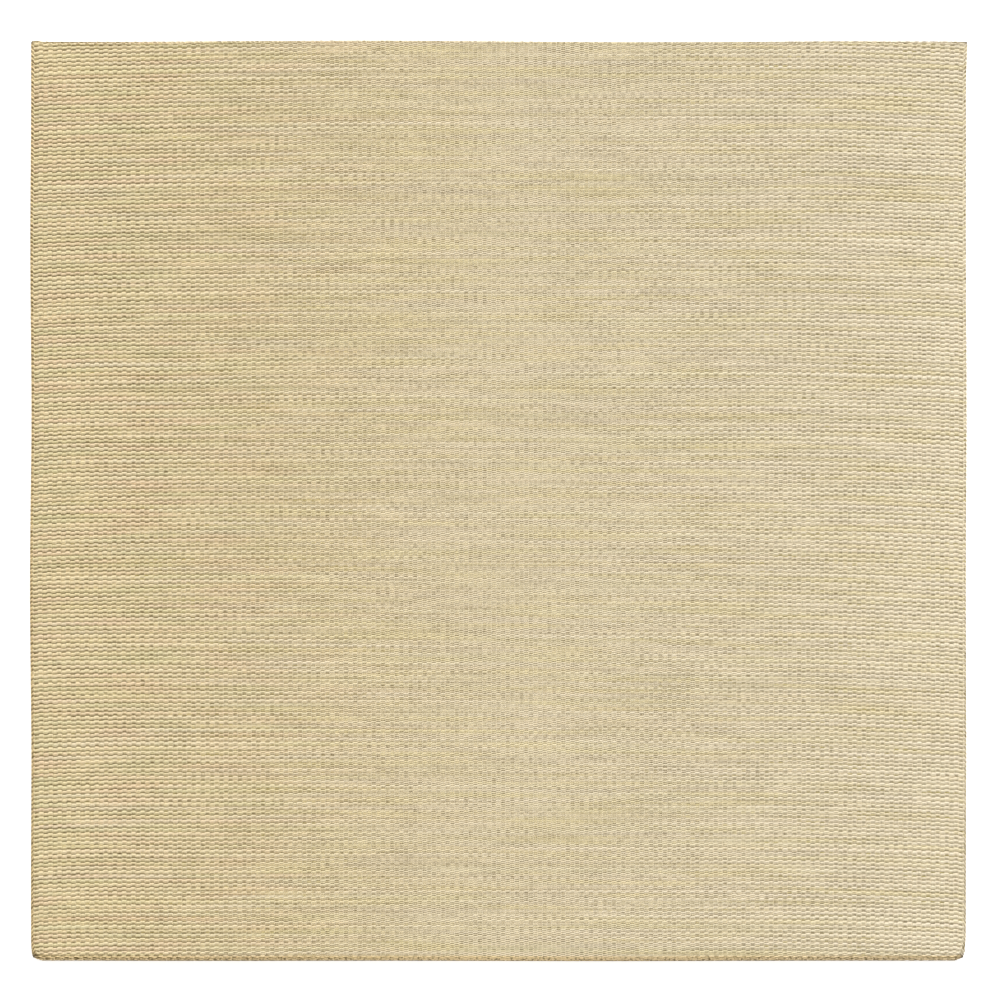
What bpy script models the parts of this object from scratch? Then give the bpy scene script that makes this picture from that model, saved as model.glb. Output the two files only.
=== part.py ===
"""A square tatami mat without edging cloth, lying flat.

The woven rush cover is wrapped round the mat on all four sides and turned under, so the mat is
one closed body: a flat underside, a thin wall that leans out a little, a tight bend into the
face, and a soft shoulder that rises to the flat middle. At each corner the cover is folded. The
fold is sharp where it meets the face, and below it the corner is drawn in to a shallow pleat.

+Z is up, the floor is at zero, and the origin is under the middle of the mat. +Y is the far side.
"""

from math import cos, pi, radians, sin
from typing import NamedTuple

import bmesh
import bpy
from mathutils import Vector

MM = 0.001

# The mat
SIDE = 820 * MM
THICKNESS = 20 * MM

# The wall, from the floor up
LOWER_BEND = 3 * MM
WALL_TUCK = 0.8 * MM
UPPER_BEND = 3 * MM
BEND_STEPS = 4
WALL_SHARES = (0.35, 0.7)

# The shoulder, where the face falls towards its edge
SHOULDER_FALL = 1.0 * MM
SHOULDER_WIDTH = 26 * MM
SHOULDER_STEPS = 5

# The folded corners
CORNER_ROUND = 2.5 * MM
CORNER_CUT = 8 * MM
PLEAT_HOLLOW = 0.35
PLEAT_DEPTH_SHARE = 0.6
CORNER_STEPS = 5
FOLD_TIP_OUT = 1.3 * MM
FOLD_TIP_UP = 0.8 * MM
FOLD_TIP_REACH = 9 * MM

# The sides, which are not quite straight
SIDE_STEPS = 28

RUSH_COLOR = (0.62, 0.52, 0.32, 1.0)
RUSH_ROUGHNESS = 0.62
CREASE_DEG = 40


class Side(NamedTuple):
    """One side of the mat: the way it faces, how far it bows out, and how far it wavers."""

    facing_deg: float
    bow: float
    waver: float
    waves: float


SIDES = (
    Side(facing_deg=-90, bow=0.3 * MM, waver=0.2 * MM, waves=2.0),
    Side(facing_deg=0, bow=0.4 * MM, waver=0.3 * MM, waves=2.5),
    Side(facing_deg=90, bow=0.3 * MM, waver=-0.3 * MM, waves=1.5),
    Side(facing_deg=180, bow=0.5 * MM, waver=0.4 * MM, waves=2.5),
)


class Level(NamedTuple):
    """One height of the wall or face: the outline there is inset, and its corners are cut."""

    height: float
    inset: float
    corner_cut: float
    corner_fullness: float
    tip: float


def corner_at(height):
    """How far the corner is cut back at a height, and how full it is: 1 is round, below 0 hollow."""
    top, foot = THICKNESS - SHOULDER_FALL - UPPER_BEND, LOWER_BEND
    down = min(1.0, max(0.0, (top - height) / (top - foot)))
    cut = CORNER_ROUND + (CORNER_CUT - CORNER_ROUND) * down
    return cut, 1.0 - (1.0 + PLEAT_HOLLOW) * min(1.0, down / PLEAT_DEPTH_SHARE)


def levels():
    """The levels of the mat, from the edge of the flat underside to the edge of the flat face."""
    rows = []
    for step in range(BEND_STEPS + 1):
        turn = radians(90) * step / BEND_STEPS
        height = LOWER_BEND * (1 - cos(turn))
        inset = WALL_TUCK + LOWER_BEND * (1 - sin(turn))
        rows.append(Level(height, inset, *corner_at(height), tip=0.0))
    edge_height = THICKNESS - SHOULDER_FALL
    for share in WALL_SHARES:
        height = LOWER_BEND + share * (edge_height - UPPER_BEND - LOWER_BEND)
        rows.append(Level(height, WALL_TUCK * (1 - share), *corner_at(height), tip=0.0))
    for step in range(BEND_STEPS + 1):
        turn = radians(90) * step / BEND_STEPS
        height = edge_height - UPPER_BEND * (1 - sin(turn))
        inset = UPPER_BEND * (1 - cos(turn))
        rows.append(Level(height, inset, *corner_at(height), tip=sin(turn)))
    for step in range(1, SHOULDER_STEPS + 1):
        share = step / SHOULDER_STEPS
        height = edge_height + SHOULDER_FALL * sin(radians(90) * share)
        inset = UPPER_BEND + SHOULDER_WIDTH * share
        rows.append(Level(height, inset, *corner_at(height), tip=0.0))
    return rows


def side_point(side, along, level):
    """The point of a side at a level, where along runs from -1 to 1 between the cut corners."""
    half = SIDE / 2 - level.inset
    reach = half - level.corner_cut
    wander = side.bow * (1 - along**2) + side.waver * sin(pi * side.waves * along) * (1 - along**2)
    out = Vector((cos(radians(side.facing_deg)), sin(radians(side.facing_deg)), 0))
    onward = Vector((-out.y, out.x, 0))
    return out * (half + wander) + onward * reach * along + Vector((0, 0, level.height))


def corner_points(start, end, level):
    """The points round a folded corner, between the end of one side and the start of the next."""
    chord_middle = (start + end) / 2
    outward = Vector((chord_middle.x, chord_middle.y, 0)).normalized()
    control = chord_middle + outward * (end - start).length / 2 * level.corner_fullness
    points = []
    for step in range(1, CORNER_STEPS):
        t = step / CORNER_STEPS
        points.append(start * (1 - t) ** 2 + control * 2 * t * (1 - t) + end * t**2)
    return points


def with_fold_tip(point, level):
    """Lets the fold stand out and up a little at the far corners, where the cover is doubled."""
    half = SIDE / 2 - level.inset
    corner = Vector((half if point.x > 0 else -half, half, level.height))
    near = max(0.0, 1 - (point - corner).length / FOLD_TIP_REACH)
    lift = level.tip * near**2
    return point + Vector((0, FOLD_TIP_OUT * lift, FOLD_TIP_UP * lift))


def outline(level):
    """The closed outline of the mat at a level, anticlockwise from above."""
    points = []
    for number, side in enumerate(SIDES):
        following = SIDES[(number + 1) % len(SIDES)]
        for step in range(SIDE_STEPS + 1):
            points.append(side_point(side, 2 * step / SIDE_STEPS - 1, level))
        points += corner_points(points[-1], side_point(following, -1, level), level)
    return [with_fold_tip(point, level) for point in points]


def rush_material():
    material = bpy.data.materials.new("woven_rush")
    material.use_nodes = True
    shader = material.node_tree.nodes["Principled BSDF"]
    shader.inputs["Base Color"].default_value = RUSH_COLOR
    shader.inputs["Roughness"].default_value = RUSH_ROUGHNESS
    shader.inputs["Metallic"].default_value = 0.0
    return material


def mat_mesh():
    """Lofts the outlines from the underside to the face, and closes both with a flat face."""
    shape = bmesh.new()
    rings = []
    for level in levels():
        ring = [shape.verts.new(point) for point in outline(level)]
        if rings:
            below = rings[-1]
            for i in range(len(ring)):
                shape.faces.new((below[i - 1], below[i], ring[i], ring[i - 1]))
        rings.append(ring)
    shape.faces.new(reversed(rings[0]))
    shape.faces.new(rings[-1])
    xs = [vertex.co.x for vertex in shape.verts]
    ys = [vertex.co.y for vertex in shape.verts]
    middle = Vector(((min(xs) + max(xs)) / 2, (min(ys) + max(ys)) / 2, 0))
    bmesh.ops.translate(shape, verts=shape.verts, vec=-middle)
    mesh = bpy.data.meshes.new("tatami_mat")
    shape.to_mesh(mesh)
    shape.free()
    return mesh


def build_mat():
    mesh = mat_mesh()
    mesh.materials.append(rush_material())
    mesh.shade_smooth()
    mesh.set_sharp_from_angle(angle=radians(CREASE_DEG))
    mat = bpy.data.objects.new("tatami_mat", mesh)
    bpy.context.scene.collection.objects.link(mat)


def clear_scene():
    for old in list(bpy.data.objects):
        bpy.data.objects.remove(old)


clear_scene()
build_mat()
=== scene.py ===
"""The looks of the borderless tatami mat: its woven rush cover, thread by thread, on a pale floor."""

from math import cos, pi, radians, sin
from typing import NamedTuple

import bmesh
import bpy
import numpy as np
from mathutils import Matrix, Vector


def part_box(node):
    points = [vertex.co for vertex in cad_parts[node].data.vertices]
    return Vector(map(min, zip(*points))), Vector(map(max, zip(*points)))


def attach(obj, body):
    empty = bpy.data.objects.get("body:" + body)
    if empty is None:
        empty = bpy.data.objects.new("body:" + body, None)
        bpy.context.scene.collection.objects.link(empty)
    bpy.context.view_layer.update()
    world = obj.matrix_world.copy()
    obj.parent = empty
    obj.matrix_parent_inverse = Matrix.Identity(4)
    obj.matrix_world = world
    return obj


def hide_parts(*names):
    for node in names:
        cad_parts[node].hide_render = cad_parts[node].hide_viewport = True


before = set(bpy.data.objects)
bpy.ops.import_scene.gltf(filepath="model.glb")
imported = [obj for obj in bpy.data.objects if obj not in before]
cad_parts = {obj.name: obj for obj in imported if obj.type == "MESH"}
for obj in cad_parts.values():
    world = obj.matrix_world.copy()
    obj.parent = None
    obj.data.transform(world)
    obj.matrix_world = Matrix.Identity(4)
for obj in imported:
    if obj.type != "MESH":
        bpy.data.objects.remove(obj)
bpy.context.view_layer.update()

# The camera looks down on the mat from the front, almost straight, through a very long lens. It
# frames the mat with a thin white margin all round.
MM = 0.001
CAMERA_UP_DEG = 78.75
CAMERA_LENS = 750
SENSOR = 18
FRAME_WIDTH = 876.6 * MM
AIM = Vector((0.84 * MM, -1.45 * MM, 18 * MM))

camera_data = bpy.data.cameras.new("camera")
camera_data.lens = CAMERA_LENS
camera_data.sensor_width = SENSOR
camera_data.clip_end = 100
camera = bpy.data.objects.new("camera", camera_data)
bpy.context.scene.collection.objects.link(camera)
camera_away = FRAME_WIDTH * CAMERA_LENS / SENSOR
camera_up = radians(CAMERA_UP_DEG)
camera.location = AIM + camera_away * Vector((0, -cos(camera_up), sin(camera_up)))
camera.rotation_euler = (radians(90) - camera_up, 0, 0)
bpy.context.scene.camera = camera


# The woven cover is one piece of close rush cloth, on hidden cotton warps that run from front to
# back. The rushes go in by twos, root first, from the left and then from the right. The cover is
# drawn over the mat, down its walls and under its foot, and its four corners are folded in.
LOW, HIGH = (np.array(corner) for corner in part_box("tatami_mat"))
THICKNESS = HIGH[2] - LOW[2]
SIDE = 820 * MM
BEND = 3 * MM
BEND_STEPS = 8
WALL_TUCK = 0.8 * MM
SHOULDER_FALL = 1.0 * MM
SHOULDER_WIDTH = 26 * MM
HEM = 30 * MM
BEND_CELLS = 4
WALL_CELLS = 6
HEM_CELLS = 8
FACE = SIDE / 2 - BEND
BEND_LENGTH = BEND * pi / 2
WALL_LENGTH = THICKNESS - SHOULDER_FALL - 2 * BEND
WARPS = 201
WARP_PITCH = 2 * FACE / WARPS
ROW_PITCH = 0.943 * MM
FLOAT_REACH = 0.32
FLOAT_FLATNESS = 2.2
CORNER_ROUND = 2.5 * MM
CORNER_CUT = 8 * MM
PLEAT_HOLLOW = 0.35
PLEAT_DEPTH_SHARE = 0.6
BACK_SPREAD = 0.9 * MM


def edge_profile():
    """The section of the mat's edge: distance past the face, inset, height, normal out and up."""
    points = []
    for step in range(BEND_STEPS + 1):
        turn = radians(90) * step / BEND_STEPS
        height = THICKNESS - SHOULDER_FALL - BEND * (1 - cos(turn))
        points.append((BEND * turn, BEND * (1 - sin(turn)), height, sin(turn), cos(turn)))
    foot = points[-1][0] + WALL_LENGTH
    for step in range(BEND_STEPS + 1):
        turn = radians(90) * step / BEND_STEPS
        inset = WALL_TUCK + BEND * (1 - cos(turn))
        points.append((foot + BEND * turn, inset, BEND * (1 - sin(turn)), cos(turn), -sin(turn)))
    last = points[-1]
    points.append((last[0] + 2 * HEM, last[1] + 2 * HEM, 0, 0, -1))
    return np.array(points).T


PROFILE = edge_profile()


def edge_columns():
    """The distances past the face of the mesh columns on a side wall and on its hem."""
    bend = np.linspace(0, BEND_LENGTH, BEND_CELLS + 1)[1:]
    wall = BEND_LENGTH + np.linspace(0, WALL_LENGTH, WALL_CELLS + 1)[1:]
    foot = BEND_LENGTH + WALL_LENGTH + bend
    hem = foot[-1] + np.linspace(0, HEM, HEM_CELLS + 1)[1:]
    return np.concatenate((bend, wall, foot, hem))


def corner_at(height):
    """How far a corner is cut back at a height, and how full it is: 1 is round, below 0 hollow."""
    top, foot = THICKNESS - SHOULDER_FALL - BEND, BEND
    down = np.clip((top - height) / (top - foot), 0, 1)
    cut = CORNER_ROUND + (CORNER_CUT - CORNER_ROUND) * down
    return cut, 1 - (1 + PLEAT_HOLLOW) * np.minimum(1, down / PLEAT_DEPTH_SHARE)


class Stray(NamedTuple):
    """How a side strays outward from its straight line: how far it bows, and how far it wavers."""

    bow: float
    waver: float
    waves: float

    def out(self, along):
        """The way outward at a place along the side, from -1 to 1."""
        return (self.bow + self.waver * np.sin(pi * self.waves * along)) * (1 - along**2)


STRAY = {
    "front": Stray(bow=0.3 * MM, waver=0.2 * MM, waves=2.0),
    "right": Stray(bow=0.4 * MM, waver=0.3 * MM, waves=2.5),
    "back": Stray(bow=0.3 * MM, waver=-0.8 * MM, waves=1.5),
    "left": Stray(bow=0.4 * MM, waver=-0.7 * MM, waves=2.5),
}


def curve(start, control, end, share):
    """A place on the curve round a corner, from its start through its control to its end."""
    return start * (1 - share) ** 2 + 2 * control * share * (1 - share) + end * share**2


def flap(past, across, side):
    """A point of a turned-down side: how far out it lies, how far along, its height and normal."""
    inset, height, outward, upward = (np.interp(past, PROFILE[0], row) for row in PROFILE[1:])
    cut, fullness = corner_at(height)
    half = SIDE / 2 - inset
    reach, straight = half - cut, FACE - cut
    turn = 0.5 * np.clip((np.abs(across) - straight) / cut, 0, 1)
    control = half - cut / 2 + cut / 2 * fullness
    out = curve(half, control, reach, turn)
    rounded = np.sign(across) * curve(reach, control, half, turn)
    along = np.where(turn > 0, rounded, across * reach / straight)
    out = out + STRAY[side].out(np.clip(along / reach, -1, 1))
    return out, along, height, outward, upward


# A rush tapers from root to tip, so near both sides thick pairs lie between thin ones, and a little
# to the right of the middle all are equal. The rows bow and waver, because the cloth is drawn tight.
ROOT_TO_TIP = 0.75
TAPER_POWER = 1.2
EVEN_AT = 14 * MM
PAIR_NESTING = 0.24
RUSH_UNEVENNESS = 0.27
MOST_UNEVEN = 0.4
NEIGHBOUR_SHARE = 0.3
EVENER_WHERE_TAPERED = 0.5
ROW_CROWN = -42 * MM
ROW_ARCH = 1.6 * MM
ROW_ARCH_SPAN = 350 * MM
RIGHT_DROP = 3.5 * MM
RIGHT_DROP_SPAN = 175 * MM
LEFT_DROP = 1.3 * MM
LEFT_DROP_SPAN = 30 * MM
ROW_WAVER = 0.25 * MM
ROW_WAVES = ((31, 9, 0), (13, -23, 1))
SEATING_POWER = 4

RELIEF = 0.31 * MM
VALLEY = 0.34 * MM
WARP_GROOVE = 0.13 * MM
JOINT_RISE = 0.9
JOINT_DROP = 0.4
THICK_RISE = 0.2
FLOAT_UNEVENNESS = 0.2
THINNEST_FLOAT = 0.4
THICKEST_FLOAT = 1.5
SLIP_STARTS = 2 * MM
FOLD_FADE = 5 * MM
FOOT_GAP = 0.02 * MM
SOFT_SWELL = 0.25 * MM
SWELL_WAVES = ((17, 5, 0), (-4, 13, 2))
ROUNDING = 1e-9

DRAW_SEED = 11
draw = np.random.default_rng(DRAW_SEED)


def columns():
    """The mesh columns: their distance from the middle along the rushes, down both side walls."""
    past = edge_columns()
    warps = (np.arange(WARPS) - WARPS // 2) * WARP_PITCH
    reach = FLOAT_REACH * WARP_PITCH
    floats = np.stack((warps - reach, warps + reach), axis=1).ravel()
    return np.concatenate((-FACE - past[::-1], (-FACE,), floats, (FACE,), FACE + past))


def ripple(x, y, waves):
    """Two crossing waves, each with its turn for every metre along x and y, and its start."""
    (first_x, first_y, first_start), (second_x, second_y, second_start) = waves
    first = np.sin(x * first_x + y * first_y + first_start)
    return first * np.sin(x * second_x + y * second_y + second_start)


def row_bow(p):
    """How far the rows rise and fall along their length."""
    p = np.clip(p, -FACE, FACE)
    arch = -ROW_ARCH * ((p - ROW_CROWN) / ROW_ARCH_SPAN) ** 2
    right = -RIGHT_DROP * np.clip((p - FACE + RIGHT_DROP_SPAN) / RIGHT_DROP_SPAN, 0, 1) ** 2
    left = -LEFT_DROP * np.exp(-(p + FACE) / LEFT_DROP_SPAN)
    return arch + right + left


def rows_along(p_columns):
    """The distance of each rush from the mat's middle line, for each column, and its width."""
    p = np.clip(p_columns, -FACE, FACE)[:, None]
    half_rows = int((FACE + BEND_LENGTH * 2 + WALL_LENGTH + HEM) / ROW_PITCH)
    number = np.arange(-half_rows, half_rows + 1)
    pair = np.where((number // 2) % 2 == 0, 1.0, -1.0)
    uneven = draw.normal(0, RUSH_UNEVENNESS, len(number))
    uneven -= NEIGHBOUR_SHARE * (np.roll(uneven, 1) + np.roll(uneven, -1))
    uneven = np.clip(uneven - uneven.mean(), -MOST_UNEVEN, MOST_UNEVEN)
    toward = (p - EVEN_AT) / FACE
    taper = -ROOT_TO_TIP * np.sign(toward) * np.abs(toward) ** TAPER_POWER
    uneven = uneven * (1 - EVENER_WHERE_TAPERED * np.abs(taper))
    width = ROW_PITCH * (1 + taper * pair) * (1 + uneven)
    centre = np.cumsum(width, axis=1) - width / 2
    centre -= centre[:, half_rows, None]
    partner = np.arange(len(number)) + np.where(number % 2 == 0, 1, -1)
    partner = np.clip(partner, 0, len(number) - 1)
    centre = centre + (centre[:, partner] - centre) / 2 * PAIR_NESTING * np.abs(taper)
    waver = ROW_WAVER * ripple(p, centre, ROW_WAVES)
    return number, centre + waver + row_bow(p), width


def seated(q):
    """Shifts the rows a little near each corner, so that one row ends exactly at the fold."""
    first, last = {}, {}
    share = np.clip(np.abs(COLUMN) / FACE, 0, 1)[:, None] ** SEATING_POWER
    shifted = q.copy()
    for side, column in ((-1, 0), (1, -1)):
        edge = q[column]
        first[side] = int(np.argmin(np.abs(edge + FACE)))
        last[side] = int(np.argmin(np.abs(edge - FACE)))
        slack = (edge[first[side]] + FACE, edge[last[side]] - FACE)
        shift = np.interp(edge, (edge[first[side]], edge[last[side]]), slack)
        shifted -= np.where(np.sign(COLUMN) == side, 1, 0)[:, None] * share * shift
    return shifted, first, last


COLUMN = columns()
ROW, ROW_AT, RUSH_WIDTH = rows_along(COLUMN)
ROW_AT, FIRST_ROW, LAST_ROW = seated(ROW_AT)


def weave_relief():
    """The height of the cloth over its own mean surface, and each point's slip across the rows."""
    turn = np.clip(FLOAT_FLATNESS * np.cos(pi * COLUMN / WARP_PITCH), -1, 1)
    over = turn[:, None] * np.where(ROW % 2 == 0, 1, -1)
    warp = np.rint(COLUMN / WARP_PITCH).astype(int)
    uneven = draw.normal(1, FLOAT_UNEVENNESS, (warp.max() - warp.min() + 1, len(ROW)))
    uneven = np.clip(uneven, THINNEST_FLOAT, THICKEST_FLOAT)
    thick = RUSH_WIDTH / ROW_PITCH * uneven[warp - warp.min()]
    up = np.maximum(over, 0)
    under = np.maximum(-over, 0)
    joint = RELIEF * (JOINT_RISE * thick - JOINT_DROP) - WARP_GROOVE
    height = RELIEF * thick**THICK_RISE * up - VALLEY * under + joint * (1 - np.abs(over))
    seam = ROW_AT.copy()
    before, after = ROW_AT[:, :-2] + RUSH_WIDTH[:, :-2], ROW_AT[:, 2:] - RUSH_WIDTH[:, 2:]
    seam[:, 1:-1] = (before + after) / 2
    crest = ROW_AT.copy()
    crest[:, 1:-1] = (seam[:, :-2] + seam[:, 2:]) / 2
    slip = (seam - ROW_AT) * under + (crest - ROW_AT) * up
    return height, slip


class Corner(NamedTuple):
    """How far the cloth is drawn at one corner: inward, backward and up, and over what reach."""

    right: int
    back: int
    inward: float
    backward: float
    up: float
    reach: float


CORNERS = (
    Corner(right=-1, back=1, inward=-0.2 * MM, backward=1.9 * MM, up=0.9 * MM, reach=11 * MM),
    Corner(right=1, back=1, inward=-1.6 * MM, backward=0.0, up=0.2 * MM, reach=40 * MM),
    Corner(right=-1, back=-1, inward=2.4 * MM, backward=1.8 * MM, up=0.0, reach=13 * MM),
    Corner(right=1, back=-1, inward=3.5 * MM, backward=1.0 * MM, up=-0.3 * MM, reach=19 * MM),
)


def laid_cover():
    """Where each crossing of a column and a row lies, on the face, the walls and the hems."""
    relief, slip = weave_relief()
    p = np.broadcast_to(COLUMN[:, None], ROW_AT.shape)
    q = ROW_AT
    inside_p, inside_q = FACE - np.abs(p), FACE - np.abs(q)
    fade = np.clip(np.maximum(inside_p, inside_q) / FOLD_FADE, 0, 1)
    q = q + slip * fade * (np.minimum(inside_p, inside_q) > SLIP_STARTS)

    across_x = np.clip(p / FACE, -1, 1)
    across_y = np.clip(q / FACE, -1, 1)
    x = p + np.where(p > 0, STRAY["right"].out(across_y), STRAY["left"].out(across_y)) * across_x
    y = q + np.where(q > 0, STRAY["back"].out(across_x), STRAY["front"].out(across_x)) * across_y
    depth = np.clip(np.minimum(inside_p, FACE - np.abs(q)) / SHOULDER_WIDTH, 0, 1)
    z = THICKNESS - SHOULDER_FALL + SHOULDER_FALL * np.sin(pi / 2 * depth)
    z = z + SOFT_SWELL * depth * ripple(x, y, SWELL_WAVES)
    place = np.stack((x, y, z), axis=-1)
    normal = np.zeros_like(place)
    normal[..., 2] = 1

    for side, past, across, axis, way in (
        ("right", p - FACE, q, 0, 1),
        ("left", -p - FACE, q, 0, -1),
        ("back", q - FACE, p, 1, 1),
        ("front", -q - FACE, p, 1, -1),
    ):
        on_flap = past >= 0
        if axis == 1:
            on_flap &= np.abs(p) <= FACE + ROUNDING
        out, along, height, outward, upward = flap(past[on_flap], across[on_flap], side)
        place[on_flap, axis] = way * out
        place[on_flap, 1 - axis] = along
        place[on_flap, 2] = height
        normal[on_flap] = 0
        normal[on_flap, axis] = way * outward
        normal[on_flap, 2] = upward

    lift = (relief - RELIEF) * fade
    place += normal * lift[..., None]
    place[..., 0] += BACK_SPREAD * place[..., 0] * place[..., 1] / FACE**2
    for corner in CORNERS:
        tip = np.array((corner.right, corner.back, 0)) * FACE
        tip[2] = THICKNESS - SHOULDER_FALL
        near = np.clip(1 - np.linalg.norm(place - tip, axis=-1) / corner.reach, 0, 1) ** 2
        place[..., 0] -= corner.right * corner.inward * near
        place[..., 1] += corner.backward * near
        place[..., 2] += corner.up * near
    place[..., 2] = np.maximum(place[..., 2], FOOT_GAP)
    place[..., :2] -= (place.min(axis=(0, 1)) + place.max(axis=(0, 1)))[:2] / 2
    turned = np.clip(-np.minimum(inside_p, inside_q) / (BEND_LENGTH + WALL_LENGTH), 0, 1)
    # Painted shade: the front and left bends and walls face away from the light, and are marked here
    # to be painted warm amber.
    edge_shade = np.clip((np.maximum(-p, -ROW_AT) - FACE) / BEND_LENGTH, 0, 1)
    return place, 1 - fade, turned, edge_shade


PLACE, FOLD, TURNED, EDGE_SHADE = laid_cover()


def cut_away(face, last_column):
    """Whether a cell of the cloth lies in a corner that is folded away."""
    column, row, _ = face.calc_center_median()
    for side, beyond in ((-1, column < last_column[-1]), (1, column > last_column[1])):
        if beyond and not FIRST_ROW[side] < row < LAST_ROW[side]:
            return True
    return False


CHART_MARGIN = 0.01


def woven_breadth(name, first, last):
    """One breadth of the cover, from one mesh column to another, laid on the mat."""
    wide, long = last - first, len(ROW) - 1
    shape = bmesh.new()
    middle = Matrix.Translation((first + wide / 2, long / 2, 0))
    size = Matrix.Diagonal((wide, long, 1, 1))
    bmesh.ops.create_grid(
        shape, x_segments=wide, y_segments=long, size=0.5, matrix=middle @ size
    )
    flap_columns = len(edge_columns())
    last_column = {-1: flap_columns, 1: len(COLUMN) - 1 - flap_columns}
    folded = [face for face in shape.faces if cut_away(face, last_column)]
    bmesh.ops.delete(shape, geom=folded, context="FACES")
    mesh = bpy.data.meshes.new(name)
    shape.to_mesh(mesh)
    shape.free()

    knots = np.empty(len(mesh.vertices) * 3)
    mesh.vertices.foreach_get("co", knots)
    column, row = knots.reshape(-1, 3)[:, :2].round().astype(int).T
    mesh.vertices.foreach_set("co", PLACE[column, row].ravel().astype(np.float32))
    corners = np.empty(len(mesh.loops), dtype=np.int32)
    mesh.loops.foreach_get("vertex_index", corners)
    weave = np.stack((COLUMN[column] / WARP_PITCH, ROW[row]), axis=-1)
    chart = np.stack(((column - first) / wide, row / long), axis=-1)
    chart = chart * (1 - 2 * CHART_MARGIN) + CHART_MARGIN
    for layer, value in (("weave", weave), ("OFBake", chart)):
        uv = mesh.uv_layers.new(name=layer)
        uv.uv.foreach_set("vector", value[corners].ravel().astype(np.float32))
    for layer, share in (("fold", FOLD), ("turned", TURNED), ("edge_shade", EDGE_SHADE)):
        marks = mesh.attributes.new(layer, "FLOAT", "POINT")
        marks.data.foreach_set("value", share[column, row].astype(np.float32))
    mesh.update()
    breadth = bpy.data.objects.new(name, mesh)
    bpy.context.scene.collection.objects.link(breadth)
    return breadth


class Value:
    """A socket of a shader, so that sums on it add Math nodes."""

    def __init__(self, maker, socket):
        self.maker = maker
        self.socket = socket

    def math(self, operation, *others, clamp=False):
        settings = {"operation": operation, "use_clamp": clamp}
        return self.maker.add("ShaderNodeMath", settings, dict(enumerate((self, *others))))

    def share(self, gain=1.0):
        """The value times a gain, held between 0 and 1."""
        return self.math("MULTIPLY", gain, clamp=True)

    def at_least(self, least):
        return self.math("MAXIMUM", least)

    def at_most(self, most):
        return self.math("MINIMUM", most)

    def __abs__(self):
        return self.math("ABSOLUTE")

    def __add__(self, other):
        return self.math("ADD", other)

    __radd__ = __add__

    def __mul__(self, other):
        return self.math("MULTIPLY", other)

    __rmul__ = __mul__

    def __sub__(self, other):
        return self.math("SUBTRACT", other)

    def __rsub__(self, other):
        return self * -1 + other

    def __truediv__(self, other):
        return self.math("DIVIDE", other)

    def __pow__(self, other):
        return self.math("POWER", other)

    def __lt__(self, other):
        return self.math("LESS_THAN", other)


class Finish:
    """A new material and the nodes in it."""

    def __init__(self, name, roughness, specular):
        self.material = bpy.data.materials.new(name)
        self.material.use_nodes = True
        self.nodes = self.material.node_tree.nodes
        self.shader = self.nodes["Principled BSDF"]
        self.shader.inputs["Roughness"].default_value = roughness
        self.shader.inputs["Specular IOR Level"].default_value = specular

    def add(self, kind, settings, values, output=0):
        node = self.nodes.new(kind)
        for name, setting in settings.items():
            setattr(node, name, setting)
        for socket, value in values.items():
            self.feed(node.inputs[socket], value)
        return Value(self, node.outputs[output])

    def feed(self, socket, value):
        if isinstance(value, Value):
            self.material.node_tree.links.new(value.socket, socket)
        else:
            socket.default_value = value

    def marks(self, layer):
        """What the mesh says of itself at each point, in the attribute of that name."""
        return self.add("ShaderNodeAttribute", {"attribute_name": layer}, {}, output="Fac")

    def vector(self, x, y, z=0.0):
        return self.add("ShaderNodeCombineXYZ", {}, {"X": x, "Y": y, "Z": z})

    def noise(self, x, y, z, detail=1.0):
        settings = {"noise_dimensions": "3D"}
        values = {"Vector": self.vector(x, y, z), "Scale": 1.0, "Detail": detail}
        return self.add("ShaderNodeTexNoise", settings, values)

    def chance(self, x, y):
        """A value from 0 to 1 that is drawn anew for every pair of whole numbers."""
        settings = {"noise_dimensions": "2D"}
        return self.add("ShaderNodeTexWhiteNoise", settings, {"Vector": self.vector(x, y)})

    def chance_along(self, x):
        """A value from 0 to 1 that is drawn anew for every whole number."""
        return self.add("ShaderNodeTexWhiteNoise", {"noise_dimensions": "1D"}, {"W": x})

    def mix(self, share, first, second):
        settings = {"data_type": "RGBA"}
        return self.add("ShaderNodeMix", settings, {0: share, 6: first, 7: second}, output=2)


SCREEN_OFFSET = 0.055
SCREEN_POWER = 2.4


def screen_color(*levels):
    """A colour of the screen, from 0 to 255, as the shader takes it."""
    shares = [level / 255 for level in levels]
    light = [((s + SCREEN_OFFSET) / (1 + SCREEN_OFFSET)) ** SCREEN_POWER for s in shares]
    return (*light, 1)


# The rush is dried and undyed: straw to cream, with greener and redder stems among them. It is
# paler towards the right, partly in its own tone and partly as painted light falling from the right.
# It has a soft, dry gloss. The shade in the seams between the rushes, and on the near side of each
# rush, is painted into the colour in dark brown.
STRAW = screen_color(211, 196, 163)
CREAM = screen_color(243, 232, 208)
OLIVE = screen_color(208, 199, 153)
GREEN = screen_color(196, 181, 108)
YELLOW = screen_color(216, 201, 150)
GREY = screen_color(214, 201, 176)
HONEY = screen_color(231, 211, 163)
RUSSET = screen_color(224, 196, 160)
# Dark brown for the painted shade of the seams, the sunk rushes, the wall gaps and the foot, and for
# the rushes' own darker tone and wear.
BROWN = screen_color(104, 82, 22)
# Warm amber for the painted shade on the front and left edges.
SHADE_AMBER = screen_color(242, 210, 148)
SHADOW = screen_color(46, 30, 10)
PALE = screen_color(237, 225, 198)
WARPS_TO_EDGE = FACE / WARP_PITCH
EVEN_WARP = EVEN_AT / WARP_PITCH
LEAST_HALF = 0.05
RUSSET_ANYWHERE, RUSSET_AT_LEFT = 0.04, 0.55
OLIVE_ANYWHERE, OLIVE_AT_LEFT = 0.1, 0.45
NOISY_MIDDLE, CALMER_SIDES = 1.1, 0.6
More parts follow.
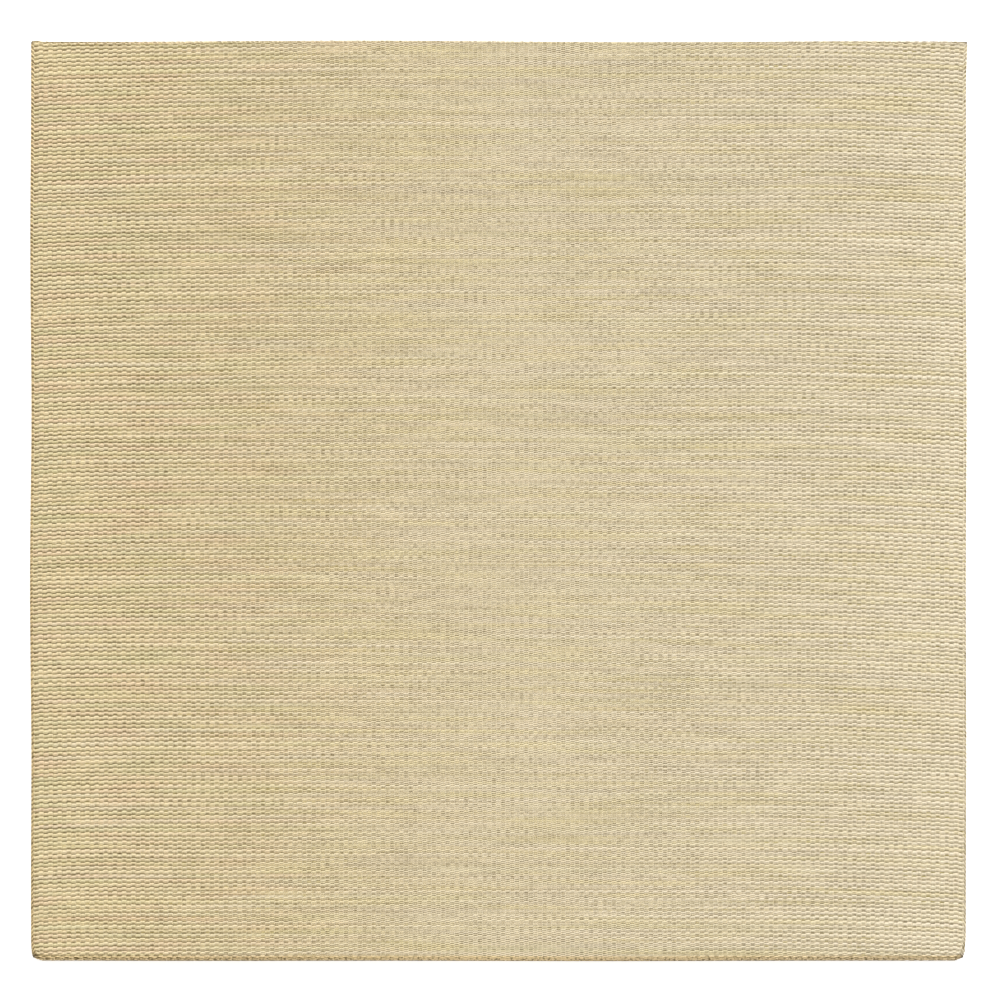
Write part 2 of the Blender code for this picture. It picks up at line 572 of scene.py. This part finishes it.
# How deep the painted shade in the seams is, and how much of it falls on the far side of a rush.
SEAM_DEPTH, SEAM_VARIES, DEEPEST_SEAM = 0.66, 6, 1.6
FAR_SEAM = 0.4
THIN_STEM, THIN_STEM_AT_LEFT = 0.48, 0.2
STEM_VARIES = 0.05
PATCH_VARIES = 0.2
FLECKS = 0.9
FLOAT_VARIES = 0.06
WALL_WEAR, WALL_GAP_SHADE = 0.9, 0.6
FOOT_STARTS, FOOT_SHADOW = 0.74, 0.65
STEM_ROUND, FIBRE_ROUGH = 0.35, 0.12
BUMP_STRENGTH = 0.85
BUMP_DEPTH = 0.3 * MM


def rush_finish():
    rush = Finish("rush", roughness=0.5, specular=0.4)
    uv = rush.add("ShaderNodeUVMap", {"uv_map": "weave"}, {})
    u = rush.add("ShaderNodeSeparateXYZ", {}, {"Vector": uv}, output="X")
    v = Value(rush, u.socket.node.outputs["Y"])
    turn = ((u * pi).math("COSINE") * FLOAT_FLATNESS).at_least(-1.0).at_most(1.0)
    flat = abs(turn)
    even = (v / 2).math("ROUND") * 2
    odd = ((v - 1) / 2).math("ROUND") * 2 + 1
    on_even = abs(v - even) < (turn + 1) / 2
    stem = on_even * even + (1 - on_even) * odd
    half = on_even * (turn + 1) / 2 + (1 - on_even) * (1 - turn) / 2
    off_crest = (stem - v) / half.at_least(LEAST_HALF)
    front_side = off_crest.share()
    back_side = off_crest.share(-1.0)
    across = (u - EVEN_WARP) / WARPS_TO_EDGE
    at_left = (across * -1.8 - 0.4).share()
    pair = (stem / 2).math("FLOOR").math("FLOORED_MODULO", 2.0) * -2 + 1
    thin = (pair * across).share()

    # Each noise has its turns for every warp along a rush, its turns for every rush across the
    # rows, and a start of its own.
    own = rush.chance_along(stem + 0.5)
    beside = rush.chance_along(stem + 1.5)
    single = rush.chance(u.math("ROUND") + 0.5, stem + 0.5)
    tone = rush.noise(u * 0.03, stem * 5.3, 3.0)
    band = rush.noise(u * 0.014, stem * 0.11, 7.0)
    streak = rush.noise(u * 0.045, stem * 0.14, 12.0)
    hue = rush.noise(u * 0.03, stem * 0.17, 21.0)
    dash = rush.noise(u * 0.11, stem * 7.7, 31.0)
    deep = rush.noise(u * 0.07, stem * 3.9, 43.0, detail=2.0)
    patch = rush.noise(u * 0.07, stem * 6.3, 57.0)
    patch_beside = rush.noise(u * 0.07, (stem + 1) * 6.3, 57.0)
    wear = rush.noise(u * 1.6, v * 0.12, 71.0)
    fleck = rush.noise(u * 1.7, stem * 8.9, 83.0, detail=2.0)
    turned = rush.marks("turned")
    edge_shade = (rush.marks("edge_shade") * 3).at_most(1.0)
    fold = rush.marks("fold")

    color = rush.mix((tone - 0.3).share(0.9), STRAW, CREAM)
    color = rush.mix((band - 0.45).share(3.0) * 0.5, color, OLIVE)
    color = rush.mix(across.share(-0.7), color, HONEY)
    # Paler towards the right, partly the rush's own tone and partly painted light falling from the
    # right.
    color = rush.mix(across.share(0.6), color, PALE)
    color = rush.mix((hue - 0.5).share(6.0) * 0.5, color, YELLOW)
    color = rush.mix((0.46 - hue).share(6.0) * 0.4, color, GREY)
    russet = (streak - 0.52).share(7.0) * (at_left * RUSSET_AT_LEFT + RUSSET_ANYWHERE)
    color = rush.mix(russet, color, RUSSET)
    olive = (0.47 - streak).share(7.0) * (at_left * OLIVE_AT_LEFT + OLIVE_ANYWHERE)
    color = rush.mix(olive, color, OLIVE)
    color = rush.mix((own - 0.85).share(2.5) * 0.25, color, RUSSET)
    color = rush.mix((dash - 0.58).share(8.0) * thin * 0.9, color, GREEN)
    # Painted light: where the rows cross between the warps at one level, out of the seams' shade, the
    # rush is painted lighter, less so towards the sides.
    color = rush.mix((1 - flat) * (0.4 - abs(across) * 0.2), color, CREAM)
    # Painted shade: the front and left edges, turned away from the light, are painted warm amber.
    color = rush.mix(edge_shade * 0.6, color, SHADE_AMBER)

    noisy = NOISY_MIDDLE - abs(across) * CALMER_SIDES
    # Painted shade: the seams between the rushes are darkened, most on the near side of each rush,
    # which the light from the back does not reach.
    depth = (((deep - 0.5) * SEAM_VARIES + (single - 0.5)) * noisy + SEAM_DEPTH).at_least(0.0)
    seam = (front_side**3 + back_side**4 * FAR_SEAM) * flat * depth.at_most(DEEPEST_SEAM)
    # Painted shade: the thin rushes sunk between thick pairs near the sides are darkened.
    sunk_rush_shade = thin * (THIN_STEM - across * THIN_STEM_AT_LEFT) * (deep - 0.3).share(4.5)
    stems = ((own - beside) * STEM_VARIES + (patch - patch_beside) * PATCH_VARIES) * noisy
    flecks = (fleck - 0.5) * FLECKS + (single - 0.5) * flat * FLOAT_VARIES
    dark = (seam + sunk_rush_shade + stems + flecks).share()
    worn = (wear - 0.52).share(9.0)
    # On the walls the rushes are mottled with wear, and the thin stems in the opening gaps are
    # darkened as painted shade.
    wall = (turned * 3).at_most(1.0) * (worn * WALL_WEAR + thin * WALL_GAP_SHADE)
    # Painted shadow: the foot of each wall is darkened where it meets the floor.
    foot = (turned - FOOT_STARTS).share(6.0) * FOOT_SHADOW
    color = rush.mix((dark + wall + foot).at_most(1.0), color, BROWN)
    color = rush.mix(fold * turned.share(5.0), color, SHADOW)
    rush.feed(rush.shader.inputs["Base Color"], color)

    fibre = rush.noise(u * 0.6, v * 14.0, stem * 3.1, detail=2.0)
    crown = (1 - off_crest * off_crest).at_least(0.0).math("SQRT")
    height = crown * STEM_ROUND + fibre * FIBRE_ROUGH
    bump_values = {"Strength": BUMP_STRENGTH, "Distance": BUMP_DEPTH, "Height": height}
    rush.feed(rush.shader.inputs["Normal"], rush.add("ShaderNodeBump", {}, bump_values))
    return rush.material


# The cover is laid in five breadths from left to right. They meet edge to edge on the same points,
# so that no join shows, and all have the one finish.
BREADTHS = 5
FLAT_SIDE = 2 * (FACE + 2 * BEND_LENGTH + WALL_LENGTH + HEM)
rush_material = rush_finish()
stops = [round((len(COLUMN) - 1) * share / BREADTHS) for share in range(BREADTHS + 1)]
for number in range(BREADTHS):
    first, last = stops[number], stops[number + 1]
    breadth = woven_breadth(f"rush_cover_{number + 1}", first, last)
    breadth.data.materials.append(rush_material)
    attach(breadth, "root")
    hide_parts("tatami_mat")


# The underside shows nothing in the photo, so it is finished plainly: one flat sheet of the same
# rush cloth lies between the four hems and a little above them, clear of the floor.
UNDER_INSET = 14 * MM
UNDER_HALF = SIDE / 2 - UNDER_INSET
UNDER_HEIGHT = 1.2 * MM
UNDER_CELLS = 40

under_shape = bmesh.new()
bmesh.ops.create_grid(
    under_shape,
    x_segments=UNDER_CELLS,
    y_segments=UNDER_CELLS,
    size=UNDER_HALF,
    matrix=Matrix.Translation((0, 0, UNDER_HEIGHT)) @ Matrix.Rotation(pi, 4, "X"),
    calc_uvs=False,
)
under_mesh = bpy.data.meshes.new("underside")
under_shape.to_mesh(under_mesh)
under_shape.free()
under_at = np.array([vertex.co[:2] for vertex in under_mesh.vertices])
under_corners = np.array([loop.vertex_index for loop in under_mesh.loops])
for layer, value in (
    ("weave", under_at / (WARP_PITCH, ROW_PITCH)),
    ("OFBake", under_at / (2 * UNDER_HALF) * (1 - 2 * CHART_MARGIN) + 0.5),
):
    uv = under_mesh.uv_layers.new(name=layer)
    uv.uv.foreach_set("vector", value[under_corners].ravel().astype(np.float32))
underside = bpy.data.objects.new("underside", under_mesh)
bpy.context.scene.collection.objects.link(underside)
underside.data.materials.append(rush_material)
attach(underside, "root")


# The floor is a plain, matt, near-white sheet, far larger than the mat. It is lit from behind a
# little, as a photographer's table is, so that the shadows on it stay faint.
FLOOR_SIDE = 12.0
FLOOR_GLOW = 0.7
FLOOR_COLOR = (0.93, 0.93, 0.93, 1)
WHITE = (1, 1, 1, 1)
floor_shape = bmesh.new()
bmesh.ops.create_grid(floor_shape, x_segments=1, y_segments=1, size=FLOOR_SIDE / 2)
floor_mesh = bpy.data.meshes.new("floor")
floor_shape.to_mesh(floor_mesh)
floor_shape.free()
floor = bpy.data.objects.new("floor", floor_mesh)
bpy.context.scene.collection.objects.link(floor)
floor_finish = Finish("floor", roughness=0.9, specular=0.1)
floor_finish.shader.inputs["Base Color"].default_value = FLOOR_COLOR
floor_finish.shader.inputs["Emission Color"].default_value = WHITE
floor_finish.shader.inputs["Emission Strength"].default_value = FLOOR_GLOW
floor.data.materials.append(floor_finish.material)


# The light comes evenly from a broad, soft source at the back on the right, so that each rush is
# lit on its far side and shaded on its near one, and from a pale even sky for the rest.
KEY_UP_DEG = 47
KEY_AROUND_DEG = 70
KEY_SPREAD_DEG = 60
KEY_AWAY = 2.0
KEY_STRENGTH = 3.0
SKY_STRENGTH = 0.5

key_light = bpy.data.lights.new("key", "SUN")
key_light.angle = radians(KEY_SPREAD_DEG)
key_light.energy = KEY_STRENGTH
key = bpy.data.objects.new("key", key_light)
bpy.context.scene.collection.objects.link(key)
up, around = radians(KEY_UP_DEG), radians(KEY_AROUND_DEG)
key.location = KEY_AWAY * Vector((cos(up) * cos(around), cos(up) * sin(around), sin(up)))
key.rotation_euler = key.location.to_track_quat("Z", "Y").to_euler()

world = bpy.data.worlds.new("sky")
world.use_nodes = True
world.node_tree.nodes["Background"].inputs["Strength"].default_value = SKY_STRENGTH
world.node_tree.nodes["Background"].inputs["Color"].default_value = WHITE
bpy.context.scene.world = world
bpy.context.scene.view_settings.view_transform = "Standard"
